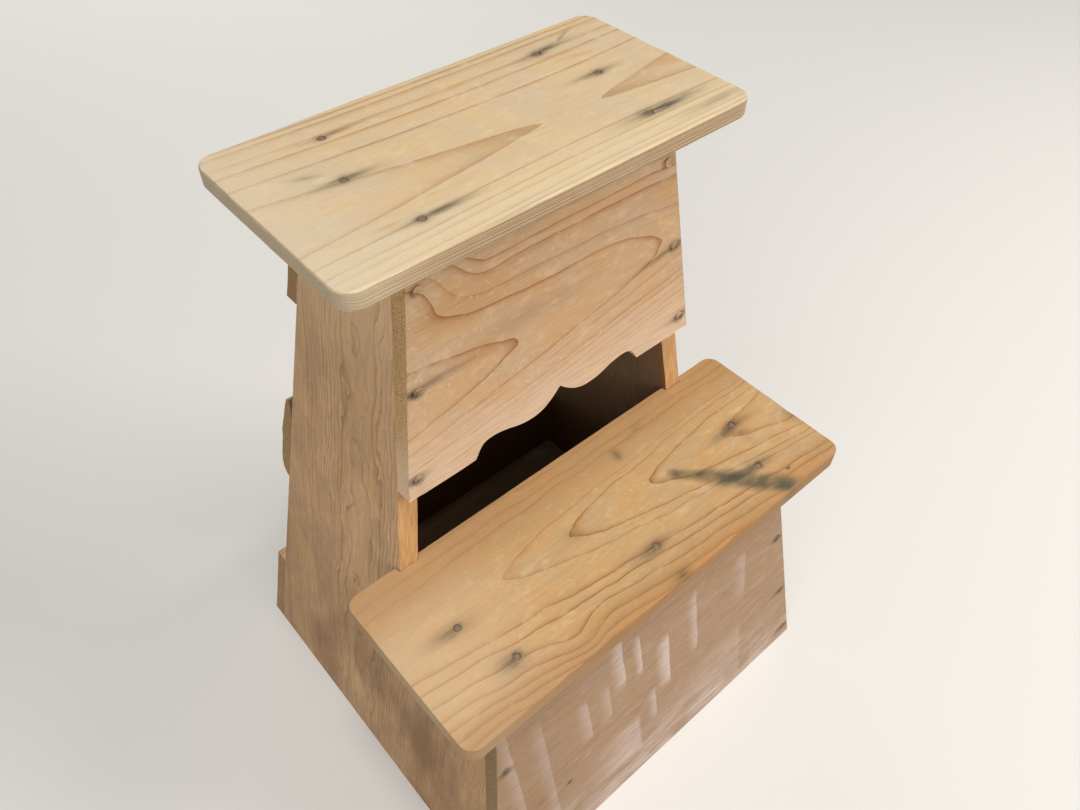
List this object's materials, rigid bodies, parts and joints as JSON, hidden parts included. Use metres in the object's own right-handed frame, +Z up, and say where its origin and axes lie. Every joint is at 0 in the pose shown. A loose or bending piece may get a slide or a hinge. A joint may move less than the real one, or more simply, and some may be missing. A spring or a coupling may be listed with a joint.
{
  "type": "two-step stool",
  "caption": "Two-step wooden stool with splayed plank sides, a scalloped front panel under the top step and rails across the back.",
  "frame": {"origin": "on the floor at the middle of the stool's footprint", "axes": "+X along the steps to the right as seen from the front, -Y the front, where a person steps up, +Z up"},
  "size_m": [0.43, 0.41, 0.606],
  "materials": {
    "pale_cedar": "bare, worn smooth",
    "honey_cedar": "bare, worn smooth",
    "brown_cedar": "bare, weathered",
    "pink_cedar": "bare, weathered",
    "sawn_cedar": "bare, rough sawn",
    "nail_iron": "dark, rusted"
  },
  "bodies": {
    "root": {"top_step": "pale_cedar", "lower_step": "honey_cedar", "left_side": "brown_cedar", "right_side": "brown_cedar", "upper_front_panel": "pink_cedar", "lower_front_panel": "sawn_cedar", "back_rail_top": "brown_cedar", "back_rail_middle": "brown_cedar", "back_rail_bottom": "brown_cedar", "top_step_nails": "nail_iron", "lower_step_nails": "nail_iron", "upper_panel_nails": "nail_iron", "lower_panel_nails": "nail_iron", "top_rail_nails": "nail_iron", "middle_rail_nails": "nail_iron", "bottom_rail_nails": "nail_iron"}
  },
  "joints": []
}
